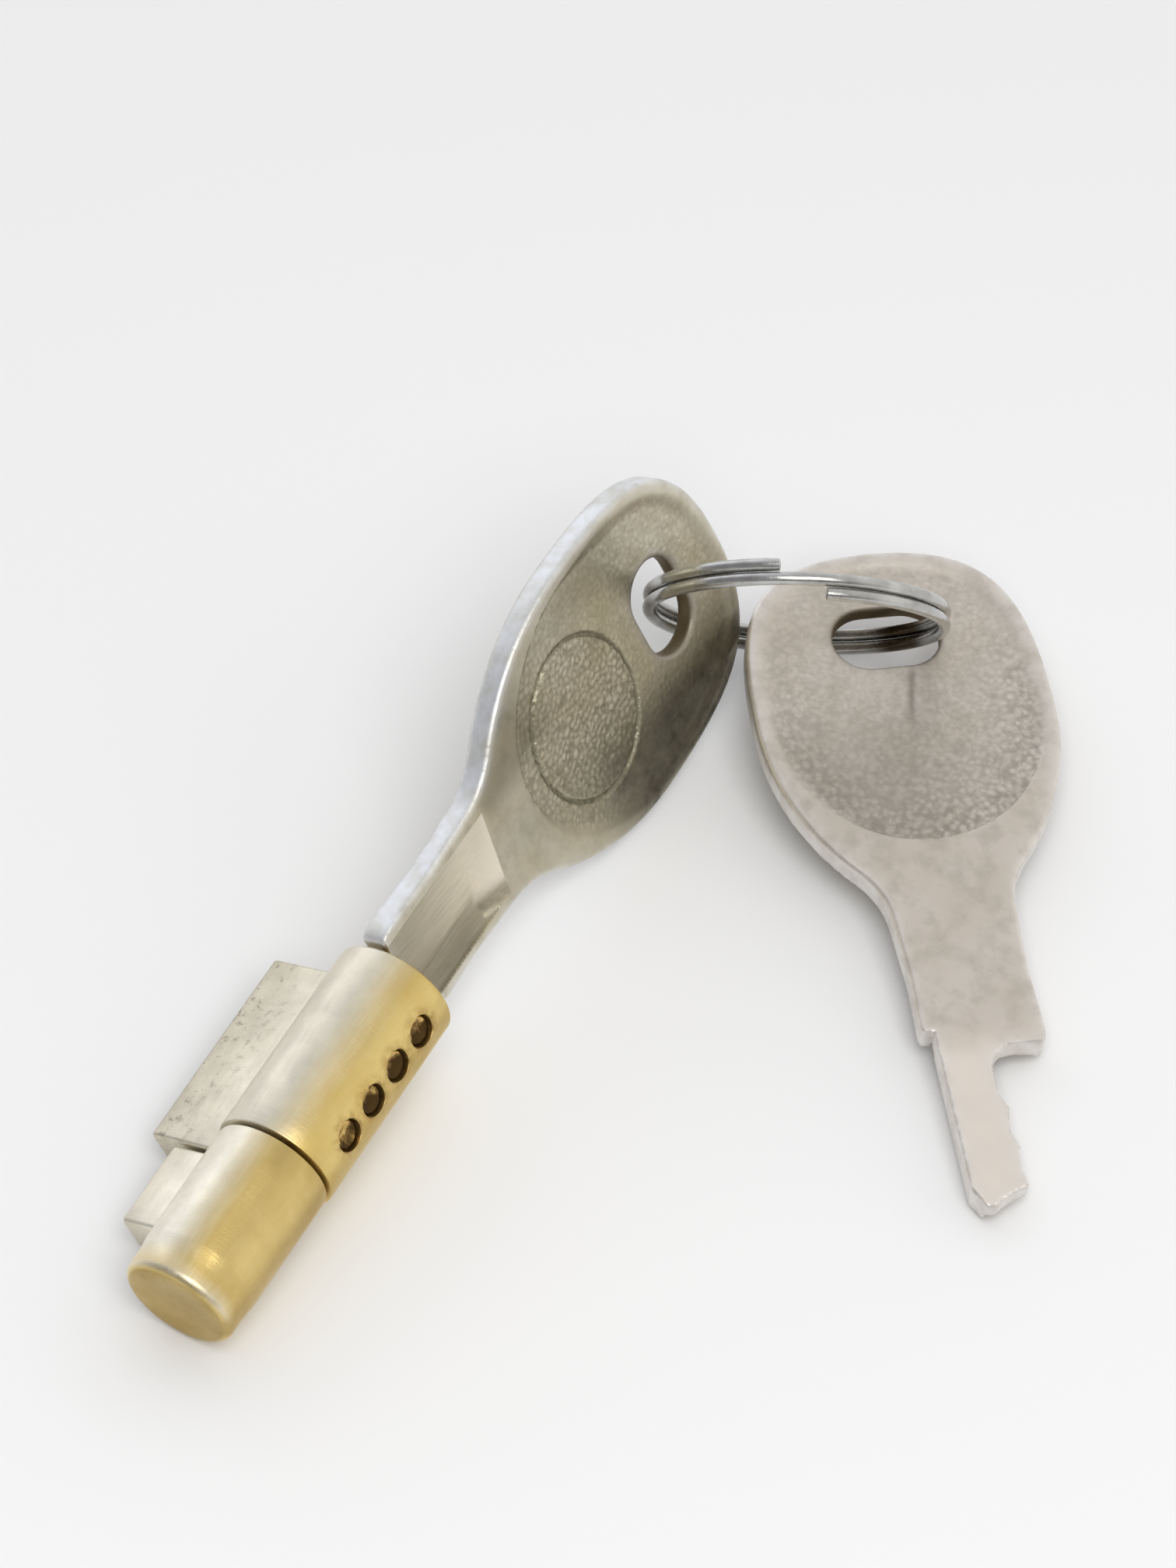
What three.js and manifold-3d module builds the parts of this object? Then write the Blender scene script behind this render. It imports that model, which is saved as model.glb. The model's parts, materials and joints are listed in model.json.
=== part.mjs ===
// Hitch pin lock: a push-in pin tumbler barrel with a turning, lugged head,
// one key in the plug and a spare key, both on a thin split ring.
//
// Units are millimetres and +Z is up. The whole set lies on the plane Z = 0, with its
// origin at the bottom centre of its box. The barrel points along +Y, its key end raised.
// The barrel is built in its own frame: Y runs along its axis from the nose to the key
// end, X is to the right and Z up. Angles about the axis go from X towards Z.

import * as THREE from 'three';
import { mergeVertices } from 'three/addons/utils/BufferGeometryUtils.js';
import Module from 'manifold-3d';

const wasm = await Module();
wasm.setup();

// ---- Driving dimensions -------------------------------------------------------------

const gap = 0.3; // between pieces that touch
const runningGap = 0.15; // round a piece that turns or slides

// Barrel
const totalLength = 32.0; // nose to key end
const bodyRadius = 5.0;
const headRadius = 4.8;
const noseRadius = 4.65;
const noseLength = 3.0;
const headLength = 13.85;
const bodyStart = headLength + gap;
const barrelRise = 5.9; // degrees, the key end is propped up by the key's bow
const axisHeight = 4.62; // axis above the ground at the nose
const lugAngle = 203; // degrees about the axis
const bodyLug = { outer: 11.05, width: 3.6, start: 12.9, end: 31.0 };
const headLug = { outer: 8.4, width: 3.4, start: 5.0, end: 12.6 };
const barrelSegments = 48;

// Plug and its fixing to the head
const plugRadius = 3.6;
const boreRadius = plugRadius + runningGap;
const plugFlange = { radius: 4.1, thickness: 1.05 };
const counterbore = { radius: 4.3, depth: 1.35 };
const tail = { radius: 2.6, start: 8.0 };
const crossPin = { radius: 0.8, station: 10.6, inner: -1.9, outer: 4.35 };
const stopTooth = { angle: 300, width: 0.9, sweep: 90, margin: 13 };

// Pin chambers
const pinCount = 4;
const pinPitch = 3.5;
const firstPinDepth = 3.5; // below the key end
const keyAngle = lugAngle - 90; // the key stands across the lug while the lugs are in line
const keyPin = { radius: 0.9, inner: 1.62, outer: 3.42 };
const driver = { radius: 0.95, inner: 3.76, outer: 5.4 };
const chamber = { radius: 1.1, end: 9.4 };
const fillHole = { radius: 1.3, discRadius: 1.12, discInner: 3.98, discOuter: 4.5 };
const spring = { radius: 0.72, wire: 0.15, turns: 6, inner: 5.75, outer: 9.1 };

// Keys, measured from the shoulder: Y up to the bow's top, negative down the blade
const key = {
  thickness: 2.3,
  bowTop: 48.5,
  bowHalf: 12.3,
  bowWidest: 32.0,
  shankHalf: 4.85,
  bladeLeft: -3.9,
  tip: -14.4,
  holeWidth: 8.8,
  holeHeight: 5.8,
  holeCentre: 40.1,
  recessDepth: 0.3,
  millDepth: 0.85,
  millLeft: -3.1,
};
const millShank = {
  wall: -3.95, floor: -2.2, edge: 3.8, depth: 1.12, start: 0.5, end: 14.2, slant: 0.2, runOut: 3.0,
};
const cuts = [0.0, 0.25, 0.4]; // edge under each pin, beside the key's middle
const crests = [0.55, 0.65, 0.6]; // edge between the pins
const keyAxisOffset = 0.6; // key's middle beside the barrel's axis, towards the cuts

// Split ring
const ring = { radius: 11.85, wire: 0.55, pitch: 1.25, turns: 1.95, startAngle: 281, sides: 6 };

// Where the ring and the spare key lie
const ringPlace = { at: [9.643, 77.642, 12.041], tilt: -61.59, yaw: 27.48 };
const spareKeyPlace = { at: [40.523, 52.866, 2.185], pitch: 4.38, roll: 3.41, yaw: 40.34 };

// ---- Materials ----------------------------------------------------------------------

function metal(color, roughness, metalness = 1.0) {
  return new THREE.MeshStandardMaterial({ color, roughness, metalness });
}
const bodyBrass = () => metal(0xcdb878, 0.38);
const headBrass = () => metal(0xd2bb74, 0.35);
const plainBrass = () => metal(0xb89c58, 0.45);
const steel = () => metal(0x9a9a9c, 0.35);
const nickel = () => metal(0xb3ab9c, 0.36);
const springSteel = () => metal(0x8a8a8c, 0.3);

// ---- Solids -------------------------------------------------------------------------

const rad = THREE.MathUtils.degToRad;

/** Turns a closed three.js geometry into a manifold solid. */
function solid(geometry) {
  const bare = geometry.clone();
  bare.deleteAttribute('normal');
  bare.deleteAttribute('uv');
  const merged = mergeVertices(bare, 1e-4);
  const index = merged.index.array;
  const triangles = [];
  for (let i = 0; i < index.length; i += 3) {
    const [a, b, c] = [index[i], index[i + 1], index[i + 2]];
    if (a !== b && b !== c && c !== a) triangles.push(a, b, c);
  }
  return new wasm.Manifold(new wasm.Mesh({
    numProp: 3,
    vertProperties: new Float32Array(merged.attributes.position.array),
    triVerts: new Uint32Array(triangles),
  }));
}

function cut(base, ...tools) {
  return tools.reduce((result, tool) => result.subtract(tool), base);
}

function join(base, ...others) {
  return others.reduce((result, other) => result.add(other), base);
}

/** A named mesh of one manifold solid. */
function piece(name, shape, material) {
  const { vertProperties, triVerts } = shape.getMesh();
  const geometry = new THREE.BufferGeometry();
  geometry.setAttribute('position', new THREE.BufferAttribute(vertProperties, 3));
  geometry.setIndex(new THREE.BufferAttribute(triVerts, 1));
  geometry.computeVertexNormals();
  const mesh = new THREE.Mesh(geometry, material);
  mesh.name = name;
  return mesh;
}

/** A solid of revolution about Y. The points are [radius, station] and form a closed loop. */
function turned(points, segments = barrelSegments) {
  const profile = points.map(([r, y]) => new THREE.Vector2(r, y));
  return solid(new THREE.LatheGeometry(profile, segments));
}

/** A plain cylinder along the barrel's axis. */
function axial(radius, start, end, segments = barrelSegments) {
  const geometry = new THREE.CylinderGeometry(radius, radius, end - start, segments);
  return solid(geometry.translate(0, (start + end) / 2, 0));
}

/** A cylinder that points away from the barrel's axis at an angle. */
function radial(radius, inner, outer, angle, station, segments = 24) {
  const geometry = new THREE.CylinderGeometry(radius, radius, outer - inner, segments);
  geometry.rotateZ(-Math.PI / 2).translate((inner + outer) / 2, 0, 0);
  return solid(geometry.rotateY(-rad(angle)).translate(0, station, 0));
}

/** A turned pin that points away from the axis. The profile is [distance, radius]. */
function radialPin(profile, angle, station, segments = 20) {
  const points = profile.map(([along, r]) => new THREE.Vector2(r, along));
  const geometry = new THREE.LatheGeometry(points, segments).rotateZ(-Math.PI / 2);
  return solid(geometry.rotateY(-rad(angle)).translate(0, station, 0));
}

/** A bar along the barrel that stands out at an angle, with its outer corners taken off. */
function lugBar({ outer, width, start, end }, inner, chamfer) {
  const half = width / 2;
  const section = new THREE.Shape([
    new THREE.Vector2(inner, -half),
    new THREE.Vector2(outer - chamfer, -half),
    new THREE.Vector2(outer, -half + chamfer),
    new THREE.Vector2(outer, half - chamfer),
    new THREE.Vector2(outer - chamfer, half),
    new THREE.Vector2(inner, half),
  ]);
  const geometry = new THREE.ExtrudeGeometry(section, { depth: end - start, bevelEnabled: false });
  geometry.rotateX(-Math.PI / 2).translate(0, start, 0);
  return solid(geometry.rotateY(-rad(lugAngle)));
}

/** A ring sector about the barrel's axis, from one angle to another. */
function sector(inner, outer, from, to, start, end) {
  const outline = new THREE.Shape();
  outline.absarc(0, 0, outer, rad(from), rad(to), false);
  outline.absarc(0, 0, inner, rad(to), rad(from), true);
  const geometry = new THREE.ExtrudeGeometry(outline, {
    depth: end - start, bevelEnabled: false, curveSegments: 20,
  });
  return solid(geometry.rotateX(Math.PI / 2).translate(0, end, 0));
}

function pinStation(i) {
  return totalLength - firstPinDepth - i * pinPitch;
}

const pins = Array.from({ length: pinCount }, (_, i) => i);

// ---- Barrel -------------------------------------------------------------------------

function lockBody() {
  const edge = 0.4;
  const shell = turned([
    [boreRadius, bodyStart],
    [bodyRadius - 0.15, bodyStart],
    [bodyRadius, bodyStart + 0.15],
    [bodyRadius, totalLength - edge],
    [bodyRadius - edge * 0.3, totalLength - edge * 0.3],
    [bodyRadius - edge, totalLength],
    [boreRadius, totalLength],
    [boreRadius, bodyStart],
  ]);
  const lug = cut(
    lugBar(bodyLug, boreRadius + 0.4, 0.35),
    axial(headRadius + gap, 0, bodyStart),
  );
  const clearances = [
    axial(boreRadius, bodyStart - 1, totalLength + 1),
    axial(counterbore.radius, totalLength - counterbore.depth, totalLength + 1),
  ];
  for (const i of pins) {
    const station = pinStation(i);
    clearances.push(radial(chamber.radius, boreRadius - 1, chamber.end, lugAngle, station));
    clearances.push(radial(fillHole.radius, boreRadius - 1, 6, lugAngle - 180, station));
  }
  const toothSpan = rad(stopTooth.angle);
  const tooth = solid(new THREE.BoxGeometry(0.75, counterbore.depth - 0.2, stopTooth.width)
    .translate(4.28, totalLength - counterbore.depth / 2, 0).rotateY(-toothSpan));
  return join(cut(join(shell, lug), ...clearances), tooth);
}

function chamberPlug(i) {
  return radial(fillHole.discRadius, fillHole.discInner, fillHole.discOuter,
    lugAngle - 180, pinStation(i));
}

function driverPin(i) {
  const { radius, inner, outer } = driver;
  return radialPin([
    [inner, 0], [inner, radius - 0.2], [inner + 0.2, radius],
    [outer - 0.3, radius], [outer, radius - 0.4], [outer, 0],
  ], lugAngle, pinStation(i));
}

function chamberSpring(i) {
  const { radius, wire, turns, inner, outer } = spring;
  return helixTube(radius, wire, turns, (outer - inner) / turns, 10, 3, (position, along) =>
    new THREE.Vector3(inner + along, position.x, position.y)
      .applyAxisAngle(new THREE.Vector3(0, 1, 0), -rad(lugAngle))
      .add(new THREE.Vector3(0, pinStation(i), 0)));
}

/** A round wire along a helix. The callback places each point of the helix. */
function helixTube(radius, wire, turns, pitch, stepsPerTurn, sides, place, startAngle = 0) {
  const steps = Math.round(turns * stepsPerTurn);
  const points = [];
  for (let s = 0; s <= steps; s += 1) {
    const turn = (s / steps) * turns;
    const angle = rad(startAngle) + turn * 2 * Math.PI;
    const round = new THREE.Vector2(Math.cos(angle), Math.sin(angle)).multiplyScalar(radius);
    points.push(place(round, turn * pitch));
  }
  const section = new THREE.Shape();
  section.absarc(0, 0, wire, 0, 2 * Math.PI, false);
  return solid(new THREE.ExtrudeGeometry(section, {
    steps, curveSegments: sides, extrudePath: new THREE.CatmullRomCurve3(points),
    bevelEnabled: false,
  }));
}

function keywaySlot() {
  const clear = 0.2;
  const face = key.thickness / 2 + clear;
  const milled = -key.thickness / 2 + key.millDepth - clear;
  const left = key.bladeLeft - clear;
  const step = key.millLeft + clear;
  const right = 1.45;
  const outline = new THREE.Shape([
    [left, -face], [step, -face], [step, milled], [right, milled], [right, face], [left, face],
  ].map(([w, n]) => new THREE.Vector2(w + keyAxisOffset, -n)));
  const depth = 1 - key.tip + 0.9;
  const geometry = new THREE.ExtrudeGeometry(outline, { depth, bevelEnabled: false });
  geometry.rotateX(-Math.PI / 2).translate(0, totalLength + 1 - depth, 0);
  return solid(geometry.rotateY(-rad(keyAngle)));
}

function plugCore() {
  const flangeStart = totalLength - 0.1 - plugFlange.thickness;
  const flangeEnd = totalLength - 0.1;
  const core = turned([
    [0, tail.start], [tail.radius - 0.3, tail.start], [tail.radius, tail.start + 0.3],
    [tail.radius, bodyStart], [plugRadius, bodyStart],
    [plugRadius, flangeStart], [plugFlange.radius, flangeStart],
    [plugFlange.radius, flangeEnd - 0.25], [plugFlange.radius - 0.25, flangeEnd], [0, flangeEnd],
  ]);
  const sweep = sector(plugRadius + 0.1, 5, stopTooth.angle - stopTooth.sweep - stopTooth.margin,
    stopTooth.angle + stopTooth.margin, flangeStart - 0.2, flangeEnd + 0.2);
  const holes = pins.map((i) =>
    radial(keyPin.radius + runningGap, 0.9, plugRadius + 1, keyAngle, pinStation(i)));
  const pinHole = radial(crossPin.radius + runningGap, crossPin.inner - 0.2, 5,
    keyAngle + 180, crossPin.station);
  return cut(core, sweep, keywaySlot(), ...holes, pinHole);
}

function keyPinSolid(i) {
  const { radius, inner, outer } = keyPin;
  return radialPin([
    [inner, 0], [inner, 0.35], [inner + 0.55, radius],
    [outer - 0.15, radius], [outer, radius - 0.2], [outer, 0],
  ], keyAngle, pinStation(i));
}

function lockingHead() {
  const rim = 0.65;
  const outer = turned([
    [0, 0], [noseRadius - rim, 0], [noseRadius - rim * 0.45, rim * 0.12],
    [noseRadius - rim * 0.12, rim * 0.45], [noseRadius, rim],
    [noseRadius, noseLength - 0.15], [headRadius, noseLength],
    [headRadius, headLength - 0.15], [headRadius - 0.15, headLength], [0, headLength],
  ]);
  const lug = lugBar(headLug, 3.4, 0.35);
  const bore = axial(tail.radius + runningGap, tail.start - gap, headLength + 1, 40);
  const pinHole = radial(crossPin.radius + runningGap, 0, 6, keyAngle + 180, crossPin.station);
  return cut(join(outer, lug), bore, pinHole);
}

function headCrossPin() {
  return radial(crossPin.radius, crossPin.inner, crossPin.outer,
    keyAngle + 180, crossPin.station, 18);
}

// ---- Keys ---------------------------------------------------------------------------

/** The bow's outline inset by a margin, down to a round lower end. */
function bowRecess(margin, lowerEnd) {
  const half = key.bowHalf - margin;
  const top = key.bowTop - margin;
  const outline = new THREE.Shape();
  outline.moveTo(0, top);
  outline.bezierCurveTo(half * 0.88, top, half, top - 6.2, half, key.bowWidest);
  outline.bezierCurveTo(half, key.bowWidest - 6.2, half * 0.58, lowerEnd, 0, lowerEnd);
  outline.bezierCurveTo(-half * 0.58, lowerEnd, -half, key.bowWidest - 6.2, -half, key.bowWidest);
  outline.bezierCurveTo(-half, top - 6.2, -half * 0.88, top, 0, top);
  return outline;
}

function keyOutline() {
  const { bowTop, bowHalf, bowWidest, shankHalf, bladeLeft, tip } = key;
  const outline = new THREE.Shape();
  outline.moveTo(0, bowTop);
  outline.bezierCurveTo(bowHalf * 0.88, bowTop, bowHalf, bowTop - 6.2, bowHalf, bowWidest);
  outline.bezierCurveTo(bowHalf, 26.1, 10.0, 21.1, 6.9, 17.5);
  outline.quadraticCurveTo(5.25, 15.5, 5.05, 13.0);
  outline.lineTo(shankHalf - 0.1, 7.0);
  outline.lineTo(shankHalf, 1.6);
  // shoulder above the cuts, with the round notch under it
  outline.quadraticCurveTo(shankHalf, 0, 4.2, 0);
  outline.lineTo(2.4, 0.1);
  outline.quadraticCurveTo(0.0, -0.1, cuts[0], -2.4);
  // a shallow cut under each pin, with a crest between it and the next
  for (const i of pins.slice(0, -1)) {
    const middle = -gap - firstPinDepth - i * pinPitch;
    outline.lineTo(cuts[i], middle + 0.45);
    outline.lineTo(cuts[i], middle - 0.45);
    outline.lineTo(crests[i], middle - pinPitch / 2);
  }
  // slanted tip
  outline.lineTo(0.45, -12.9);
  outline.quadraticCurveTo(-1.3, -13.4, -2.2, tip + 0.25);
  outline.quadraticCurveTo(-2.75, tip, -3.1, tip + 0.4);
  outline.lineTo(bladeLeft, tip + 1.9);
  outline.lineTo(bladeLeft, 1.9);
  outline.lineTo(-4.55, 2.0);
  outline.quadraticCurveTo(-shankHalf, 2.1, -shankHalf, 2.6);
  outline.lineTo(-shankHalf + 0.1, 7.0);
  outline.lineTo(-5.05, 13.0);
  outline.quadraticCurveTo(-5.25, 15.5, -6.9, 17.5);
  outline.bezierCurveTo(-10.0, 21.1, -bowHalf, 26.1, -bowHalf, bowWidest);
  outline.bezierCurveTo(-bowHalf, bowTop - 6.2, -bowHalf * 0.88, bowTop, 0, bowTop);
  const end = key.holeHeight / 2;
  const straight = key.holeWidth / 2 - end;
  const hole = new THREE.Path();
  hole.absarc(straight, key.holeCentre, end, -Math.PI / 2, Math.PI / 2, false);
  hole.absarc(-straight, key.holeCentre, end, Math.PI / 2, Math.PI * 1.5, false);
  outline.holes.push(hole);
  return outline;
}

/** A flat prism of an outline between two heights of the key's thickness. */
function slab(outline, low, high, curveSegments = 8) {
  const geometry = new THREE.ExtrudeGeometry(outline, {
    depth: high - low, bevelEnabled: false, curveSegments,
  });
  return solid(geometry.translate(0, 0, low));
}

/** The key blank: face B is at +Z, face A with the oval and the milled flat is at -Z. */
function keySolid() {
  const half = key.thickness / 2;
  const { recessDepth, millDepth, millLeft, tip } = key;
  const oval = new THREE.Shape();
  oval.absellipse(0, 27.8, 7.5, 6.7, 0, 2 * Math.PI, false);
  const inner = new THREE.Path();
  inner.absellipse(0, 27.8, 6.8, 6.0, 0, 2 * Math.PI, true);
  oval.holes.push(inner);
  const bladeMill = new THREE.BoxGeometry(1.3 - millLeft, 0.6 - tip + 2, millDepth + 1);
  bladeMill.translate((1.3 + millLeft) / 2, (0.6 + tip - 2) / 2, -half + (millDepth - 1) / 2);
  return cut(
    slab(keyOutline(), -half, half),
    slab(bowRecess(1.2, 19.9), half - recessDepth, half + 1),
    slab(bowRecess(1.2, 19.2), -half - 1, -half + recessDepth),
    slab(oval, -half, -half + recessDepth + 0.3, 16),
    solid(bladeMill),
    shankMill(half),
  );
}

/** The milled hollow on the shank's face A: a steep wall, a tilted floor, a slanted end. */
function shankMill(half) {
  const { wall, floor, edge, depth, start, end, slant, runOut } = millShank;
  const section = [
    [wall, 0], [wall + 0.55, 0.68 * depth], [floor, depth], [edge, 0.05],
  ];
  const points = [];
  for (const [x, z] of section) {
    const top = end - slant * (edge - x);
    points.push([x, start, z - half], [x, top - (runOut * z) / depth, z - half]);
    points.push([x, start, -half - 1], [x, top + 0.01, -half - 1]);
    points.push([x, top, -half]);
  }
  return wasm.Manifold.hull(points);
}

// ---- Split ring ---------------------------------------------------------------------

function splitRing() {
  const { radius, wire, pitch, turns, startAngle, sides } = ring;
  return helixTube(radius, wire, turns, pitch, 36, sides, (round, along) =>
    new THREE.Vector3(round.x, round.y, along - (turns * pitch) / 2), startAngle);
}

// ---- Assembly -----------------------------------------------------------------------

const barrel = new THREE.Group();
barrel.add(piece('lock_body', lockBody(), bodyBrass()));
barrel.add(piece('plug_core', plugCore(), plainBrass()));
barrel.add(piece('locking_head', lockingHead(), headBrass()));
barrel.add(piece('head_cross_pin', headCrossPin(), steel()));
for (const i of pins) {
  barrel.add(piece(`chamber_plug_${i + 1}`, chamberPlug(i), plainBrass()));
  barrel.add(piece(`driver_pin_${i + 1}`, driverPin(i), plainBrass()));
  barrel.add(piece(`chamber_spring_${i + 1}`, chamberSpring(i), springSteel()));
  barrel.add(piece(`key_pin_${i + 1}`, keyPinSolid(i), plainBrass()));
}
const insertedKey = new THREE.Group();
insertedKey.add(piece('inserted_key', keySolid(), nickel()));
insertedKey.rotation.y = -rad(keyAngle);
insertedKey.position.set(keyAxisOffset * Math.cos(rad(keyAngle)), totalLength + gap,
  keyAxisOffset * Math.sin(rad(keyAngle)));
barrel.add(insertedKey);
barrel.rotation.x = rad(barrelRise);
barrel.position.z = axisHeight;

const ringGroup = new THREE.Group();
ringGroup.add(piece('split_ring', splitRing(), nickel()));
ringGroup.position.set(...ringPlace.at);
ringGroup.rotation.set(rad(ringPlace.tilt), 0, rad(ringPlace.yaw), 'ZYX');

const spareKey = new THREE.Group();
spareKey.add(piece('spare_key', keySolid(), nickel()));
spareKey.position.set(...spareKeyPlace.at);
spareKey.rotation.set(rad(spareKeyPlace.pitch), rad(spareKeyPlace.roll),
  rad(spareKeyPlace.yaw), 'ZYX');

const lockSet = new THREE.Group();
lockSet.add(barrel, ringGroup, spareKey);
lockSet.updateMatrixWorld(true);
const box = new THREE.Box3().setFromObject(lockSet, true);
const middle = box.getCenter(new THREE.Vector3());
lockSet.position.set(-middle.x, -middle.y, -box.min.z);

export default lockSet;
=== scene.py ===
"""Hitch pin lock with two keys on a split ring: the looks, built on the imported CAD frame.

Shapes are worked out in millimetres in the piece's own frame and put in place in metres.
The barrel's own frame has Y along its axis from the nose to the key end, and angles about
the axis go from X towards Z, as in the CAD model.
"""
import json
import math
from types import SimpleNamespace

import bmesh
import bpy
import numpy as np
from mathutils import Matrix, Vector
from mathutils.geometry import delaunay_2d_cdt


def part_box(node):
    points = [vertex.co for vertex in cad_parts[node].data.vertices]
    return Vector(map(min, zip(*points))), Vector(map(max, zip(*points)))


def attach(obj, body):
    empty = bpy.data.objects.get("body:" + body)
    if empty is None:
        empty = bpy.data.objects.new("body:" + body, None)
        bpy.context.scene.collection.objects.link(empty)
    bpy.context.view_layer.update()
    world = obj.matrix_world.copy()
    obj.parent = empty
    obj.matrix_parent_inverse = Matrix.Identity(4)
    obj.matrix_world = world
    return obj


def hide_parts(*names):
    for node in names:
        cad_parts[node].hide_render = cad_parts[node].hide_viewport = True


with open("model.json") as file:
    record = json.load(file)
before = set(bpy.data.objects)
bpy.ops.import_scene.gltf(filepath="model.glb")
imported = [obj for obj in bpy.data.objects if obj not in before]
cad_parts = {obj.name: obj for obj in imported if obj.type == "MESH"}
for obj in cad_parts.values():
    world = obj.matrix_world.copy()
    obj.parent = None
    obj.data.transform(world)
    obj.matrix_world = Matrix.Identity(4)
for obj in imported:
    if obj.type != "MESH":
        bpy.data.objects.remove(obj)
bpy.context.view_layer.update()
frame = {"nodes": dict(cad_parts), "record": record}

# ---- Dimensions, mm. They are the CAD model's, unless a comment says otherwise -------

# barrel
TOTAL = 32.0
BODY_R = 5.0
BODY_START = 14.15
HEAD_R = 4.8
HEAD_LENGTH = 13.85
NOSE_R = 4.65
NOSE_LENGTH = 3.0
BORE_R = 3.75
LUG_ANGLE = 203.0
KEY_ANGLE = LUG_ANGLE - 90.0
FILL_ANGLE = LUG_ANGLE - 180.0
# the body's lug ends at 11.05 in the CAD model, with chamfers of 0.35; this one stays inside its box
BODY_LUG = SimpleNamespace(inner=BORE_R + 0.4, outer=11.0, width=3.6, start=12.9, end=31.0, bevel=0.32)
HEAD_LUG = SimpleNamespace(inner=3.4, outer=8.4, width=3.4, start=5.0, end=12.6, bevel=0.35)
COUNTERBORE_R = 4.3
COUNTERBORE_DEPTH = 1.35
TOOTH_ANGLE = 300

# plug, and its pin through the head
PLUG_R = 3.6
PLUG_END = TOTAL - 0.1
FLANGE_R = 4.1
FLANGE_T = 1.05
TAIL_R = 2.6
TAIL_START = 8.0
CROSS_PIN_STATION = 10.6
CROSS_HOLE_R = 0.95
KEYWAY_DEPTH = 16.0  # 15.3 in the CAD model

# pin chambers
PIN_PITCH = 3.5
PIN_STATIONS = [28.5 - PIN_PITCH * i for i in range(4)]
CHAMBER_R = 1.1
FILL_HOLE_R = 1.3
DISC_R = 1.12
KEY_PIN_HOLE_R = 1.05

# keys: Y from the shoulder to the bow's top, negative down the blade
KEY_T = 2.3
HALF = KEY_T / 2
BOW_TOP = 48.5
BOW_HALF = 12.3
BOW_WIDEST = 32.0
SHANK_HALF = 4.85
BLADE_LEFT = -3.9
TIP = -14.4
HOLE_W = 8.8
HOLE_H = 5.8
HOLE_Y = 40.1
RECESS = 0.3
CUTS = (0.0, 0.25, 0.4)
CRESTS = (0.55, 0.65, 0.6)
KEY_OFFSET = 0.6
SHOULDER_GAP = 0.3
# the flat milled along one face
MILL_LEFT = -3.1
MILL_DEPTH = 0.85
MILL_WALL = -3.95
MILL_FLOOR = -2.2
MILL_EDGE = 3.8
MILL_SHANK_DEPTH = 1.12
MILL_END = 14.2
MILL_SLANT = 0.2
MILL_RUN_OUT = 3.0
# the oval groove on face A, by its middle line
OVAL_HALF = (7.15, 6.35)
OVAL_Y = 27.8

# split ring; in the CAD model the wire's radius is 0.55 and the pitch 1.25
RING_R = 11.85
RING_WIRE = 0.53
RING_PITCH = 1.1
RING_TURNS = 1.95
RING_START = 281.0

# ---- Frames --------------------------------------------------------------------------

MM = Matrix.Scale(0.001, 4)
record = frame["record"]
nose = next(m for m in record["mounts"] if m["name"] == "nose_face")
lock_origin = Vector(nose["pos_m"])
lock_axis = -Vector(nose["axis"]).normalized()


def frame_of(x, y, origin):
    """A matrix whose X and Y are these, at an origin."""
    m = Matrix((x, y, x.cross(y))).transposed().to_4x4()
    m.translation = origin
    return m


LOCK = frame_of(Vector((1, 0, 0)), lock_axis, lock_origin) @ MM
RISE = math.asin(lock_axis.z)


def turn(degrees, axis):
    return Matrix.Rotation(math.radians(degrees), 4, axis)


def around(angle):
    """The turn that takes +X to an angle about the barrel's axis."""
    return turn(-angle, "Y")


def placed(rotation, points, node):
    """The rotation moved so that these points, in mm, fill the CAD node's box."""
    world = np.array(points) @ np.array(rotation.to_3x3()).T * 0.001
    low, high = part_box(node)
    middle = (np.array(low) + np.array(high)) / 2
    at = middle - (world.min(0) + world.max(0)) / 2
    return Matrix.Translation(Vector(at)) @ rotation @ MM


# how the keys and the ring lie; the spare key's and the ring's places come from their CAD boxes
INSERTED = LOCK @ around(KEY_ANGLE) @ Matrix.Translation((KEY_OFFSET, TOTAL + SHOULDER_GAP, 0))
SPARE_TURN = turn(40.34, "Z") @ turn(3.41, "Y") @ turn(4.38, "X")
RING_TURN = turn(27.48, "Z") @ turn(-61.59, "X")


# ---- Mesh helpers --------------------------------------------------------------------

def make_object(name, mesh):
    obj = bpy.data.objects.new(name, mesh)
    bpy.context.scene.collection.objects.link(obj)
    return obj


def shade(mesh, sharp):
    """Smooth shading, sharp where faces meet at more than an angle in degrees."""
    mesh.shade_smooth()
    mesh.set_sharp_from_angle(angle=math.radians(sharp))


def mesh_from(name, points, faces, matrix, sharp):
    """A smooth-shaded object from points in mm and faces."""
    mesh = bpy.data.meshes.new(name)
    mesh.from_pydata([matrix @ Vector(p) for p in points], [], faces)
    mesh.validate()
    shade(mesh, sharp)
    return make_object(name, mesh)


def object_from(name, bm, matrix):
    """An object from a finished bmesh, moved by a matrix if there is one."""
    mesh = bpy.data.meshes.new(name)
    bm.to_mesh(mesh)
    bm.free()
    if matrix is not None:
        mesh.transform(matrix)
    return make_object(name, mesh)


def attribute(mesh, name, values):
    layer = mesh.attributes.new(name, "FLOAT", "POINT")
    layer.data.foreach_set("value", np.asarray(values, dtype=np.float32))


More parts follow.
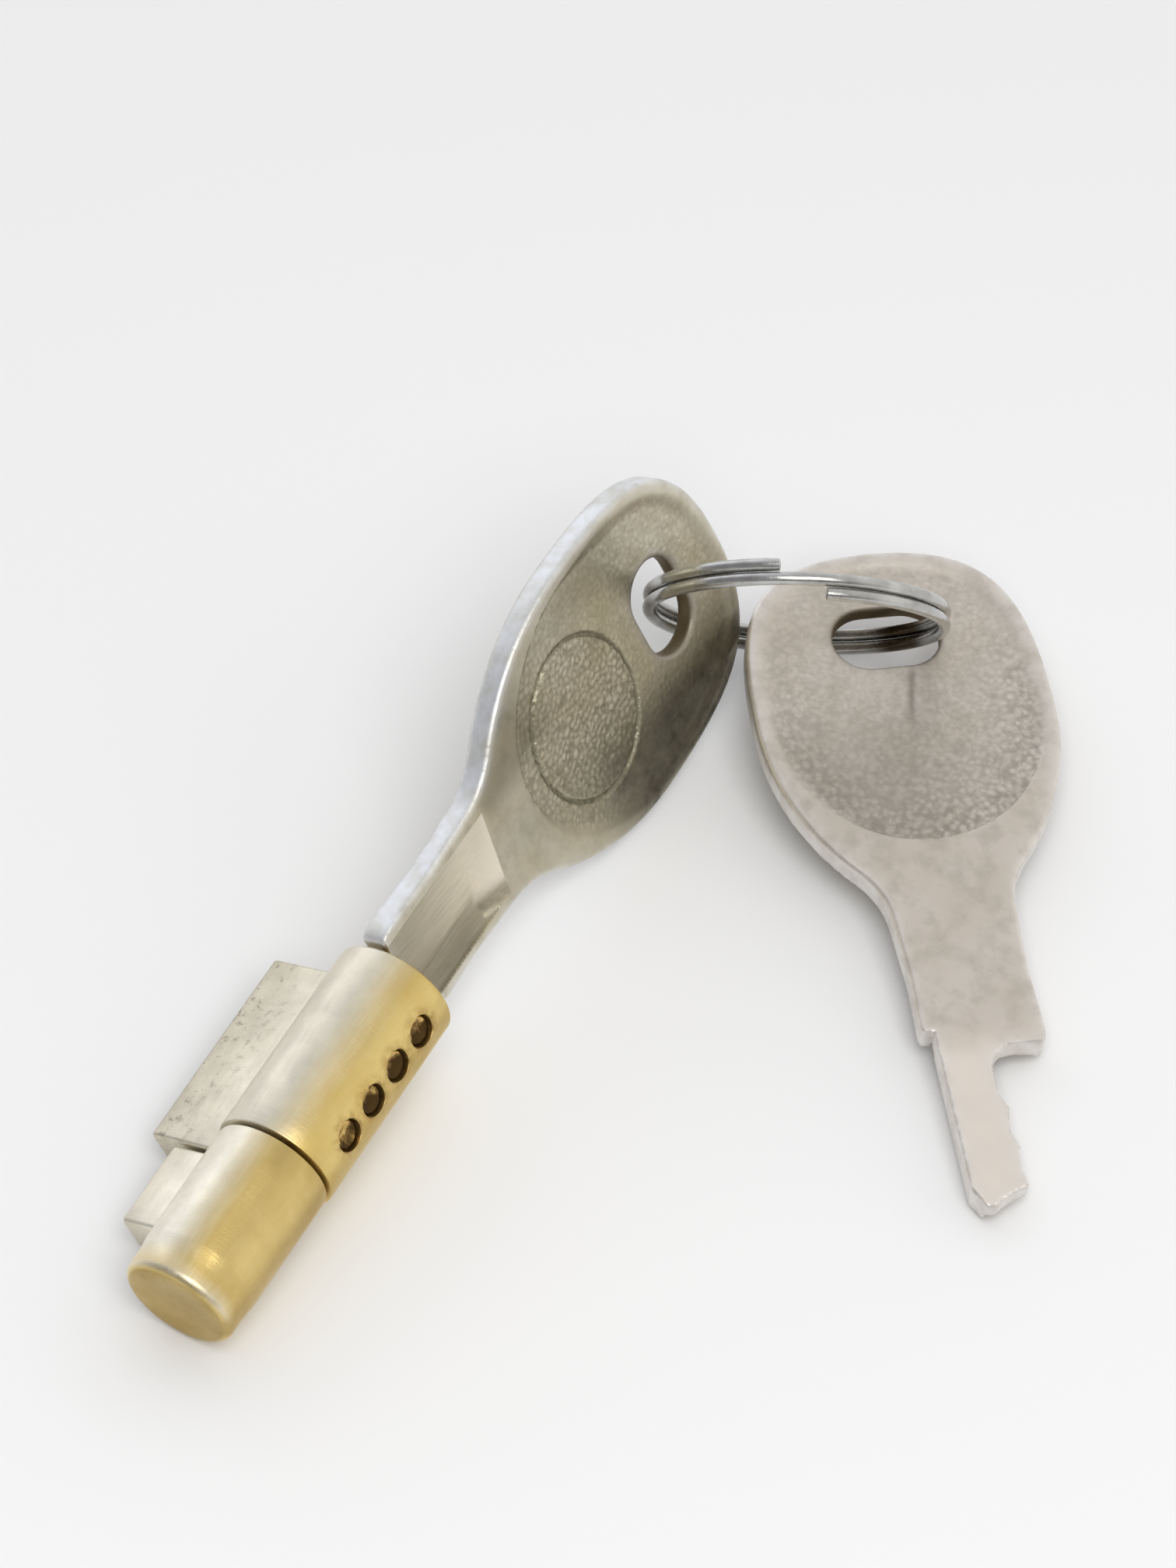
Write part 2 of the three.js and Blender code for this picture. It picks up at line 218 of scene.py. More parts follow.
def lathe(name, profile, segments, matrix=None):
    """A closed turned solid about Y from [radius, station] points, in mm."""
    bm = bmesh.new()
    rings = []
    for r, y in profile:
        if r < 1e-6:
            rings.append([bm.verts.new((0, y, 0))])
            continue
        rings.append([
            bm.verts.new((r * math.cos(a), y, r * math.sin(a)))
            for a in (2 * math.pi * k / segments for k in range(segments))
        ])
    pairs = list(zip(rings, rings[1:]))
    if len(rings[0]) > 1:
        pairs.append((rings[-1], rings[0]))
    for a, b in pairs:
        for k in range(segments):
            n = (k + 1) % segments
            corners = [a[k % len(a)], a[n % len(a)], b[n % len(b)], b[k % len(b)]]
            unique = list(dict.fromkeys(corners))
            if len(unique) > 2:
                bm.faces.new(unique)
    bmesh.ops.recalc_face_normals(bm, faces=bm.faces)
    return object_from(name, bm, matrix)


def arc(cx, cy, r, start, end, steps):
    """Points on an arc, as [radius, station], angles in degrees."""
    angles = np.radians(np.linspace(start, end, steps + 1))
    return [(cx + r * math.cos(a), cy + r * math.sin(a)) for a in angles]


def prism(outline, low, high, matrix=None, bevel=0.0):
    """An outline in X and Z pushed along Y from low to high, with its edges softened."""
    bm = bmesh.new()
    bottom = [bm.verts.new((x, low, z)) for x, z in outline]
    top = [bm.verts.new((x, high, z)) for x, z in outline]
    bm.faces.new(bottom)
    bm.faces.new(list(reversed(top)))
    for k in range(len(outline)):
        n = (k + 1) % len(outline)
        bm.faces.new([bottom[k], top[k], top[n], bottom[n]])
    bmesh.ops.recalc_face_normals(bm, faces=bm.faces)
    if bevel:
        bmesh.ops.bevel(bm, geom=bm.edges[:], offset=bevel, segments=3, profile=0.5,
                        affect="EDGES", clamp_overlap=True)
    return object_from("tool", bm, matrix)


def radial_tool(profile, angle, station, segments=40):
    """A turned solid that points away from the axis; the profile is [radius, distance]."""
    matrix = Matrix.Translation((0, station, 0)) @ around(angle) @ turn(-90, "Z")
    return lathe("tool", profile, segments, matrix)


def carve(base, steps):
    """Applies boolean steps, (operation, object), to a base and drops the tools."""
    for operation, tool in steps:
        modifier = base.modifiers.new("boolean", "BOOLEAN")
        modifier.operation = operation
        modifier.solver = "EXACT"
        modifier.object = tool
    graph = bpy.context.evaluated_depsgraph_get()
    result = bpy.data.meshes.new_from_object(base.evaluated_get(graph))
    base.modifiers.clear()
    old = base.data
    base.data = result
    bpy.data.meshes.remove(old)
    for _, tool in steps:
        bpy.data.objects.remove(tool)
    bm = bmesh.new()
    bm.from_mesh(result)
    bmesh.ops.remove_doubles(bm, verts=bm.verts, dist=2e-4)
    bmesh.ops.dissolve_degenerate(bm, edges=bm.edges, dist=1e-4)
    bmesh.ops.triangulate(bm, faces=[f for f in bm.faces if len(f.verts) > 4])
    bm.to_mesh(result)
    bm.free()
    shade(result, 32)
    return base


def settle(obj, matrix):
    obj.data.transform(matrix)
    return obj


def finish(obj, body, nodes, material):
    """Puts a piece on its body, in place of its CAD nodes, with its finish."""
    obj.data.materials.clear()
    obj.data.materials.append(material)
    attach(obj, body)
    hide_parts(*nodes)
    return obj


# ---- Materials -----------------------------------------------------------------------

def scaled(color, share):
    """A colour made darker or lighter by a factor."""
    return tuple(min(1.0, share * c) for c in color)


class Nodes:
    """A short way to write a metal's node tree."""

    def __init__(self, name, color, roughness):
        self.material = bpy.data.materials.new(name)
        self.material.use_nodes = True
        self.tree = self.material.node_tree
        self.tree.nodes.clear()
        output = self.add("ShaderNodeOutputMaterial")
        self.shader = self.add("ShaderNodeBsdfPrincipled")
        self.shader.inputs["Base Color"].default_value = (*color, 1)
        self.shader.inputs["Roughness"].default_value = roughness
        self.shader.inputs["Metallic"].default_value = 1.0
        self.link(self.shader.outputs[0], output.inputs["Surface"])
        self.material.diffuse_color = (*color, 1)

    def add(self, kind, **settings):
        node = self.tree.nodes.new(kind)
        for key, value in settings.items():
            setattr(node, key, value)
        return node

    def link(self, a, b):
        self.tree.links.new(a, b)

    def feed(self, node, sources):
        """Sets or links a node's sockets, from their numbers and a number, colour or socket each."""
        for number, source in sources.items():
            socket = node.inputs[number]
            if isinstance(source, (int, float)):
                socket.default_value = source
            elif isinstance(source, tuple):
                socket.default_value = (*source, 1)
            else:
                self.link(source, socket)

    def coordinates(self, scale=(1, 1, 1), rotation=(0, 0, 0)):
        source = self.add("ShaderNodeTexCoord")
        mapping = self.add("ShaderNodeMapping")
        mapping.inputs["Rotation"].default_value = rotation
        mapping.inputs["Scale"].default_value = scale
        self.link(source.outputs["Object"], mapping.inputs["Vector"])
        return mapping.outputs[0]

    def noise(self, vector, scale, detail=3.0, rough=0.55):
        node = self.add("ShaderNodeTexNoise")
        node.inputs["Scale"].default_value = scale
        node.inputs["Detail"].default_value = detail
        node.inputs["Roughness"].default_value = rough
        self.link(vector, node.inputs["Vector"])
        return node.outputs[0]

    def cells(self, vector, scale):
        """The distance from the middle of soft round cells."""
        node = self.add("ShaderNodeTexVoronoi", feature="SMOOTH_F1")
        node.inputs["Scale"].default_value = scale
        self.link(vector, node.inputs["Vector"])
        return node.outputs["Distance"]

    def nearest(self, vector, centres):
        """The distance to the nearest of some points, in metres."""
        result = None
        for centre in centres:
            node = self.add("ShaderNodeVectorMath", operation="DISTANCE")
            node.inputs[1].default_value = tuple(centre)
            self.link(vector, node.inputs[0])
            distance = node.outputs["Value"]
            result = distance if result is None else self.math("MINIMUM", result, distance)
        return result

    def ramp(self, value, *stops):
        node = self.add("ShaderNodeValToRGB")
        elements = node.color_ramp.elements
        while len(elements) < len(stops):
            elements.new(0.5)
        for element, (at, color) in zip(elements, stops):
            element.position = at
            element.color = (*color, 1)
        self.link(value, node.inputs[0])
        return node.outputs[0]

    def range(self, value, low, high, to_low, to_high):
        node = self.add("ShaderNodeMapRange", clamp=True)
        for name, number in (("From Min", low), ("From Max", high),
                             ("To Min", to_low), ("To Max", to_high)):
            node.inputs[name].default_value = number
        self.link(value, node.inputs["Value"])
        return node.outputs[0]

    def mix(self, factor, a, b, blend="MIX"):
        node = self.add("ShaderNodeMix", data_type="RGBA", blend_type=blend)
        self.feed(node, {0: factor, 6: a, 7: b})
        return node.outputs[2]

    def math(self, operation, a, b):
        node = self.add("ShaderNodeMath", operation=operation)
        self.feed(node, {0: a, 1: b})
        return node.outputs[0]

    def product(self, a, b):
        return self.math("MULTIPLY", a, b)

    def attribute(self, name):
        return self.add("ShaderNodeAttribute", attribute_name=name).outputs["Fac"]

    def bump(self, height, strength, distance, normal=None):
        node = self.add("ShaderNodeBump")
        node.inputs["Strength"].default_value = strength
        node.inputs["Distance"].default_value = distance
        self.link(height, node.inputs["Height"])
        if normal is not None:
            self.link(normal, node.inputs["Normal"])
        return node.outputs[0]

    def wire(self, color, rough, normal):
        for name, source in (("Base Color", color), ("Roughness", rough), ("Normal", normal)):
            self.link(source, self.shader.inputs[name])
        return self.material


# takes the barrel's axis to Y in a texture's coordinates
BARREL_TURN = (-RISE, 0, 0)


def brass(name, light, deep, roughness, painted_highlight=None, specks=0.0, holes=()):
    """Satin turned brass: fine rings round the barrel, clouds of tarnish and a few marks.

    With a pale colour the mesh's attributes are read: the flank marked for it gets a painted
    highlight of nearly white brass, and the places marked darker get painted shade and a little
    dirt. Specks lie on the rough_face, and dirt has gathered round the drilled holes.
    """
    n = Nodes(name, light, roughness)
    plain = n.coordinates(rotation=BARREL_TURN)
    clouds = n.noise(plain, 260, 4.0)
    lines = n.noise(n.coordinates((60, 7000, 60), BARREL_TURN), 1.0, 2.0)
    drag = n.noise(n.coordinates((2600, 160, 2600), BARREL_TURN), 1.0, 3.0)
    grain = n.noise(plain, 5200, 2.0)
    color = n.ramp(clouds, (0.36, light), (0.68, deep))
    color = n.mix(n.range(lines, 0.35, 0.7, 0.0, 0.22), color, deep)
    # painted highlight: the marked flank is mixed towards a nearly white brass
    if painted_highlight:
        painted_sheen = n.ramp(n.noise(plain, 420, 4.0), (0.35, painted_highlight), (0.7, scaled(painted_highlight, 0.86)))
        streak = n.range(drag, 0.3, 0.7, -0.06, 0.06)
        amount = n.math("ADD", n.attribute("painted_highlight"), streak)
        color = n.mix(n.range(amount, 0.08, 0.92, 0.0, 1.0), color, painted_sheen)
        # painted shade, and a little dirt, where the mesh marks it darker
        color = n.mix(n.attribute("painted_shade_and_dirt"), color, (0.62, 0.58, 0.52), "MULTIPLY")
    if holes:
        away = n.nearest(n.coordinates(), holes)
        patches = n.range(n.noise(plain, 1500, 3.0), 0.4, 0.6, 0.15, 1.0)
        dirt_and_shade = n.product(n.range(away, 0.0013, 0.0022, 0.75, 0.0), patches)
        color = n.mix(dirt_and_shade, color, (0.42, 0.26, 0.085))
    if specks:
        mask = n.range(n.noise(plain, 1300, 5.0, 0.75), 0.54, 0.63, 0.0, specks)
        color = n.mix(n.product(mask, n.attribute("rough_face")), color, (0.13, 0.11, 0.075))
    rough = n.math("ADD", n.range(clouds, 0.3, 0.7, roughness - 0.06, roughness + 0.08),
                   n.range(drag, 0.4, 0.7, -0.03, 0.06))
    height = n.bump(lines, 0.35, 0.00002)
    return n.wire(color, rough, n.bump(grain, 0.25, 0.00003, height))


def dark_disc_metal():
    """The closed chambers: dull brown metal, with painted shade on one side of the dished floor and a
    painted highlight on the other.
    """
    n = Nodes("chamber_brown", (0.2, 0.13, 0.06), 0.5)
    plain = n.coordinates()
    clouds = n.noise(plain, 900)
    # painted shade on the marked side, a painted gold highlight on the other
    patch = n.math("ADD", clouds, n.range(n.attribute("dirt_and_shade"), 0.0, 1.0, 0.16, -0.2))
    color = n.ramp(patch, (0.36, (0.09, 0.052, 0.018)), (0.5, (0.26, 0.16, 0.055)),
                   (0.6, (0.74, 0.53, 0.2)))
    rough = n.range(clouds, 0.3, 0.7, 0.62, 0.42)
    return n.wire(color, rough, n.bump(n.noise(plain, 3800), 0.5, 0.00006))


def nickel(name, light, warm, rim, roughness, pebble_strength, low):
    """Satin nickel plate: a duller pebbled recess, brighter edges, partly rubbed and partly a painted
    highlight, and a worn milled flat with a painted highlight and painted shade.

    The low side of a bow is darker by the given share: painted shade on face A, and on face B a
    darkening towards the bottom of the recess.
    """
    n = Nodes(name, light, roughness)
    plain = n.coordinates()
    recess, edge, milled, grains = (n.attribute(a) for a in ("recess", "edge", "milled", "grains"))
    clouds = n.noise(plain, 170, 4.0)
    stains = n.noise(plain, 520, 4.0, 0.6)
    grain = n.noise(plain, 2600, 4.0, 0.65)
    scratches = n.noise(n.coordinates((900, 5200, 900), (0, 0, 0.7)), 1.0, 2.0)
    color = n.ramp(clouds, (0.35, light), (0.7, warm))
    color = n.mix(n.range(stains, 0.45, 0.7, 0.0, 0.55), color, scaled(warm, 0.74))
    color = n.mix(n.product(recess, n.range(grain, 0.36, 0.64, 0.4, 0.0)), color, scaled(warm, 0.72))
    # pebbles: dark lines round them and a paler fleck on each, a painted highlight
    cells = n.cells(plain, 1950)
    color = n.mix(n.product(n.range(cells, 0.36, 0.64, 0.0, 0.42), grains), color, scaled(warm, 0.5))
    color = n.mix(n.product(n.range(cells, 0.16, 0.46, 0.5, 0.0), grains), color, scaled(light, 1.18))
    color = n.mix(n.attribute("tip"), color, scaled(light, 1.22))
    # the milled flat: the warmer metal under the plate, with the cutter's marks
    cut_metal = tuple(0.5 * (a + b) for a, b in zip(light, (0.62, 0.52, 0.34)))
    marks = n.noise(n.coordinates((5200, 320, 5200)), 1.0)
    color = n.mix(n.product(milled, 0.7), color, cut_metal)
    color = n.mix(n.product(milled, n.range(marks, 0.42, 0.66, 0.0, 0.45)), color,
                  scaled(cut_metal, 0.5))
    # painted highlight: a near-white sheen where the milled flat rises to run out
    color = n.mix(n.attribute("run_out_sheen"), color, (0.94, 0.86, 0.72))
    # painted shade on the marked side, in the crevices and inside the hole, with dirt between the
    # pebbles; the rim is partly rubbed and partly a painted highlight
    shade_darkening = n.product(n.attribute("dark_and_shaded_side"), n.range(stains, 0.25, 0.6, 1.0, 0.6))
    color = n.mix(n.product(shade_darkening, low), color, (0.06, 0.05, 0.035))
    color = n.mix(n.product(n.attribute("crevice_dirt_and_shade"), 0.8), color, scaled(warm, 0.34))
    color = n.mix(edge, color, n.mix(n.range(stains, 0.4, 0.66, 0.0, 0.5), rim, scaled(light, 0.8)))
    color = n.mix(n.attribute("hole_shade"), color, (0.2, 0.155, 0.09))
    rough = n.range(clouds, 0.3, 0.7, roughness - 0.05, roughness + 0.06)
    for part in (n.product(recess, 0.07), n.product(edge, 0.14),
                 n.range(scratches, 0.5, 0.75, 0.0, 0.07)):
        rough = n.math("ADD", rough, part)
    fine = n.bump(grain, 0.22, 0.00004)
    return n.wire(color, rough, n.bump(n.product(cells, grains), -pebble_strength, 0.0001, fine))


def wire_metal(name, color, shade_color, roughness):
    """Drawn and plated wire: fine marks, a little tarnish, and painted shade where the mesh marks it.
    """
    n = Nodes(name, color, roughness)
    plain = n.coordinates()
    marks = n.noise(plain, 3000)
    mixed = n.ramp(n.noise(plain, 420), (0.35, color), (0.72, shade_color))
    # painted shade where the mesh marks it
    mixed = n.mix(n.attribute("shade_darkening"), mixed, (0.09, 0.065, 0.04))
    rough = n.range(marks, 0.3, 0.7, roughness - 0.05, roughness + 0.1)
    return n.wire(mixed, rough, n.bump(marks, 0.2, 0.00002))


# ---- Keys ----------------------------------------------------------------------------

OUTLINE_STEP = 0.22
GRID_STEP = 0.19


def sampled(commands):
    """Points along lines and Bezier curves; each command is its control points."""
    points = [np.array(commands[0], dtype=float)]
    for command in commands[1:]:
        control = np.array([points[-1], *command], dtype=float)
        length = np.linalg.norm(np.diff(control, axis=0), axis=1).sum()
        count = max(1, round(length / OUTLINE_STEP))
        for t in np.linspace(0, 1, count + 1)[1:]:
            level = control
            while len(level) > 1:
                level = (1 - t) * level[:-1] + t * level[1:]
            points.append(level[0])
    return np.array(points)


def key_outline():
    w, b = BOW_HALF, BOW_TOP
    commands = [
        (0, b),
        [(w * 0.88, b), (w, b - 6.2), (w, BOW_WIDEST)],
        [(w, 26.1), (10.0, 21.1), (6.9, 17.5)],
        [(5.25, 15.5), (5.05, 13.0)],
        [(SHANK_HALF - 0.1, 7.0)],
        [(SHANK_HALF, 1.6)],
        [(SHANK_HALF, 0), (4.2, 0)],
        [(2.4, 0.1)],
        [(0.0, -0.1), (CUTS[0], -2.4)],
    ]
    for i, (cut, crest) in enumerate(zip(CUTS, CRESTS)):
        middle = -3.8 - PIN_PITCH * i
        commands.append([(cut, middle + 0.45)])
        commands.append([(cut, middle - 0.45)])
        commands.append([(crest, middle - PIN_PITCH / 2)])
    commands += [
        [(0.4, -12.85)],
        [(-1.3, -13.4), (-2.2, TIP + 0.25)],
        [(-2.75, TIP), (-3.1, TIP + 0.4)],
        [(BLADE_LEFT, TIP + 1.9)],
        [(BLADE_LEFT, 1.9)],
        [(-4.55, 2.0)],
        [(-SHANK_HALF, 2.1), (-SHANK_HALF, 2.6)],
        [(-SHANK_HALF + 0.1, 7.0)],
        [(-5.05, 13.0)],
        [(-5.25, 15.5), (-6.9, 17.5)],
        [(-10.0, 21.1), (-w, 26.1), (-w, BOW_WIDEST)],
        [(-w, b - 6.2), (-w * 0.88, b), (0, b)],
    ]
    return sampled(commands)[:-1]


def hole_outline():
    end = HOLE_H / 2
    straight = HOLE_W / 2 - end
    return np.array([
        (side * straight + end * math.cos(a), HOLE_Y + end * math.sin(a))
        for side, start in ((1, -math.pi / 2), (-1, math.pi / 2))
        for a in np.linspace(start, start + math.pi, 40)
    ])


def recess_outline(margin, low):
    w, b = BOW_HALF - margin, BOW_TOP - margin
    return sampled([
        (0, b),
        [(w * 0.88, b), (w, b - 6.2), (w, BOW_WIDEST)],
        [(w, BOW_WIDEST - 6.2), (w * 0.58, low), (0, low)],
        [(-w * 0.58, low), (-w, BOW_WIDEST - 6.2), (-w, BOW_WIDEST)],
        [(-w, b - 6.2), (-w * 0.88, b), (0, b)],
    ])[:-1]


def mill_top(x):
    """The slanted line where the milled flat runs out on the shank."""
    return MILL_END - MILL_SLANT * (MILL_EDGE - x)


OUTLINE = key_outline()
HOLE = hole_outline()
RECESS_B = recess_outline(1.2, 19.9)
RECESS_A = recess_outline(1.2, 19.2)


def signed_distance(points, loop):
    """Distance from a closed loop, positive inside it."""
    a, b = loop, np.roll(loop, -1, axis=0)
    result = np.empty(len(points))
    for start in range(0, len(points), 2000):
        p = points[start:start + 2000, None]
        along = b - a
        t = ((p - a) * along).sum(-1) / np.maximum((along ** 2).sum(-1), 1e-12)
        nearest = a + np.clip(t, 0, 1)[..., None] * along
        distance = np.linalg.norm(p - nearest, axis=-1).min(1)
        x, y = p[..., 0], p[..., 1]
        crosses = (a[:, 1] > y) != (b[:, 1] > y)
        slope = np.where(b[:, 1] == a[:, 1], 1e-12, b[:, 1] - a[:, 1])
        hit = x < (b[:, 0] - a[:, 0]) * (y - a[:, 1]) / slope + a[:, 0]
        inside = (crosses & hit).sum(1) % 2 == 1
        result[start:start + 2000] = np.where(inside, distance, -distance)
    return result


def smooth(x, low, high):
    t = np.clip((x - low) / (high - low), 0, 1)
    return t * t * (3 - 2 * t)


def inset(loop, distance):
    """A loop moved inwards along its own normals."""
    tangent = np.roll(loop, -1, axis=0) - np.roll(loop, 1, axis=0)
    normal = np.stack([tangent[:, 1], -tangent[:, 0]], 1)
    normal /= np.maximum(np.linalg.norm(normal, axis=1), 1e-9)[:, None]
    return loop - normal * distance


def pebbles(points, cell, seed):
    """Rounded grains, like a hammered casting: 1 on a grain and 0 in the lines between."""
    shift = np.random.default_rng(seed).random((97, 89, 2))
    grid = np.floor(points / cell).astype(int)
    near = np.full(len(points), 9.0)
    second = np.full(len(points), 9.0)
    for i in (-1, 0, 1):
        for j in (-1, 0, 1):
            site = grid + (i, j)
            jitter = shift[site[:, 0] % 97, site[:, 1] % 89]
            d = np.linalg.norm(points / cell - site - jitter, axis=1)
            second = np.where(d < near, near, np.minimum(second, d))
            near = np.minimum(near, d)
    return smooth(second - near, 0.0, 0.45)


def key_plan():
    """The blank seen from face B: its points, and its triangles wound anticlockwise.

    An even grid is made finer by rows of points along each edge and each step in depth.
    """
    grid_x, grid_y = np.meshgrid(np.arange(-12.4, 12.4, GRID_STEP),
                                 np.arange(-15.2, 48.6, GRID_STEP))
    grid_x = grid_x + GRID_STEP / 2 * (np.arange(len(grid_x)) % 2)[:, None]
    rows = [np.column_stack([grid_x.ravel(), grid_y.ravel()])]
    for distance in (0.04, 0.11, 0.2, 0.31, 0.44):
        rows += [inset(OUTLINE, distance), inset(HOLE, -distance)]
    rows += [inset(loop, side) for loop in (RECESS_B, RECESS_A) for side in (-0.07, 0.07)]
    turns = np.linspace(0, 2 * math.pi, 200, endpoint=False)
    circle = np.column_stack([np.cos(turns), np.sin(turns)])
    for offset in (-0.38, -0.26, 0.26, 0.38):
        rows.append(circle * (OVAL_HALF[0] + offset, OVAL_HALF[1] + offset) + (0, OVAL_Y))
    for line, sides, low, high in ((MILL_LEFT, (-0.05, 0.05), TIP, 1.5),
                                   (MILL_WALL, (-0.04, 0.04, 0.14, 0.3), 0.5, 14.0),
                                   (MILL_EDGE, (-0.04, 0.04), 0.5, 14.0)):
        ys = np.arange(low, high, 0.15)
        rows += [np.column_stack([np.full(len(ys), line + side), ys]) for side in sides]
    xs = np.arange(MILL_WALL - 0.1, MILL_EDGE + 0.2, 0.1)
    rows += [np.column_stack([xs, mill_top(xs) - below]) for below in (-0.05, 0.05, 0.5, 1.2)]
    points = np.vstack(rows)
    margin = 0.03
    clear = (signed_distance(points, OUTLINE) > margin) & (-signed_distance(points, HOLE) > margin)
    coords = [Vector(p) for p in np.vstack([OUTLINE, HOLE, points[clear]])]
    start = len(OUTLINE)
    edges = [(i, (i + 1) % start) for i in range(start)]
    edges += [(start + i, start + (i + 1) % len(HOLE)) for i in range(len(HOLE))]
    flat, _, triangles, *_ = delaunay_2d_cdt(coords, edges, [], 0, 1e-5)
    flat = np.array([tuple(v) for v in flat])
    triangles = np.array([tuple(t) for t in triangles])
    centre = flat[triangles].mean(1)
    triangles = triangles[(signed_distance(centre, OUTLINE) > 0) & (signed_distance(centre, HOLE) < 0)]
    area = np.cross(flat[triangles[:, 1]] - flat[triangles[:, 0]],
                    flat[triangles[:, 2]] - flat[triangles[:, 0]])
    triangles[area < 0] = triangles[area < 0][:, ::-1]
    return flat, triangles


def milled_flat(f):
    """The depth of the milled flat over the plan; its fields are added to f.

    It is level on the blade, and on the shank a hollow wall leads to a tilted floor.
    """
    x, y = f.x, f.y
    blade_cut = MILL_DEPTH * smooth(x, MILL_LEFT - 0.06, MILL_LEFT + 0.06)
    f.rise = np.clip((x - MILL_WALL) / (MILL_FLOOR - MILL_WALL), 0, 1)
    hollow = MILL_SHANK_DEPTH * np.sqrt(np.maximum(1 - (1 - f.rise) ** 2, 0))
    tilt = 1.07 * np.clip((x - MILL_FLOOR) / (MILL_EDGE - MILL_FLOOR), 0, 1)
    shank_cut = np.where(x < MILL_EDGE, np.maximum(hollow - tilt, 0), 0)
    f.on_shank = np.maximum(smooth(y, 0.5, 0.9), smooth(x, 1.0, 1.4) * smooth(y, -0.4, -0.2))
    depth = blade_cut + (shank_cut - blade_cut) * f.on_shank
    f.mill = ((depth > 0.004) & (y < mill_top(x))).astype(float)
    f.below = np.clip(mill_top(x) - y, 0, None)
    return depth * np.clip((mill_top(x) - y) / MILL_RUN_OUT, 0, 1)


def key_relief(flat, grain):
    """The heights of both faces over the plan, and the fields that place the wear, the painted
    highlights and the painted shade.

    Distances are in mm, and the other fields go from 0 to 1.
    """
    f = SimpleNamespace()
    f.x, f.y = x, y = flat[:, 0], flat[:, 1]
    f.to_outline = signed_distance(flat, OUTLINE)
    f.to_hole = -signed_distance(flat, HOLE)
    f.to_edge = np.clip(np.minimum(f.to_outline, f.to_hole), 0, None)
    # the bow's edge is rounder than the blade's, and its recess fades out towards the top
    round_off = 0.2 + 0.24 * smooth(y, 1.0, 8.0)
    short = np.clip(round_off - f.to_edge, 0, round_off)
    edge_drop = round_off - np.sqrt(np.maximum(round_off ** 2 - short ** 2, 0))
    fade_b = smooth(y - 0.35 * x, 20.0, 29.0)
    fade_a = np.maximum(smooth(-x, 1.0, 6.0), smooth(y, 31.0, 39.0))
    in_recess_b = signed_distance(flat, RECESS_B)
    f.in_b = smooth(in_recess_b, -0.1 - 0.5 * fade_b, 0.1 + 0.9 * fade_b)
    f.in_a = smooth(signed_distance(flat, RECESS_A), -0.1 - 0.5 * fade_a, 0.12 + 0.9 * fade_a)
    clear_hole = smooth(f.to_hole, 0.15, 0.5)
    lumps = pebbles(flat, grain, 4) * 0.75 + pebbles(flat + 40, grain * 0.62, 7) * 0.25
    f.between = (1 - lumps) * clear_hole

    # face B: pebbles that are coarser low down and towards the border, and one bent crease
    border = 1 - smooth(in_recess_b, 0.6, 6.0)
    f.grade = np.maximum(
        0.5 * smooth(x * 0.5 - (y - 30.0), -6.0, 10.0),
        border * smooth(38.0 - y, -4.0, 8.0) * (0.7 + 0.3 * smooth(x, -9.0, 4.0)))
    coarse = 0.02 + 0.035 * f.grade
    above = np.clip(y - 31.5, 0, 9)
    bend = x - 0.45 - 0.16 * above - 0.012 * above ** 2
    f.crease = np.exp(-(bend / 0.32) ** 2) * smooth(y, 29.0, 33.0) * (1 - smooth(y, 36.0, 37.0))
    drop_b = RECESS * f.in_b - coarse * f.in_b * clear_hole * lumps + 0.07 * f.crease

    # face A: an oval groove in the recess, with the strongest pebbles inside it
    oval = np.hypot(x / OVAL_HALF[0], (y - OVAL_Y) / OVAL_HALF[1]) - 1
    f.groove = 1 - smooth(np.abs(oval) * 6.7, 0.1, 0.3)
    f.cast = np.where(oval < 0, 1.0, 0.42 + 0.4 * smooth(-y, -30.0, -22.0))
    drop_a = RECESS * f.in_a - 0.07 * f.cast * f.in_a * clear_hole * lumps * (1 - f.groove)
    drop_a = np.maximum(drop_a + 0.22 * f.groove, milled_flat(f))

    f.top = HALF - np.maximum(drop_b, 0) - edge_drop
    f.bottom = -HALF + np.maximum(drop_a, 0) + edge_drop
    return f


def key_solid(flat, triangles, top, bottom):
    """Joins two height fields with walls round the edge: points, faces and the walls' own points."""
    count, rows = len(flat), 4
    points = np.vstack([np.column_stack([flat, top]), np.column_stack([flat, bottom])])
    faces = [tuple(t) for t in triangles]
    faces += [tuple(int(i) + count for i in t[::-1]) for t in triangles]
    # a wall stands on each directed edge of the top that no other triangle shares
    directed = np.vstack([triangles[:, [0, 1]], triangles[:, [1, 2]], triangles[:, [2, 0]]])
    present = {(int(a), int(b)) for a, b in directed}
    rim = [(a, b) for a, b in present if (b, a) not in present]
    wall, chains = [], {}
    for a, _ in rim:
        between = range(2 * count + len(wall), 2 * count + len(wall) + rows - 1)
        wall += [(*flat[a], top[a] + (bottom[a] - top[a]) * k / rows) for k in range(1, rows)]
        chains[a] = [a, *between, a + count]
    for a, b in rim:
        for k in range(rows):
            faces.append((chains[a][k], chains[a][k + 1], chains[b][k + 1], chains[b][k]))
    return np.vstack([points, wall]), faces, np.array(wall)


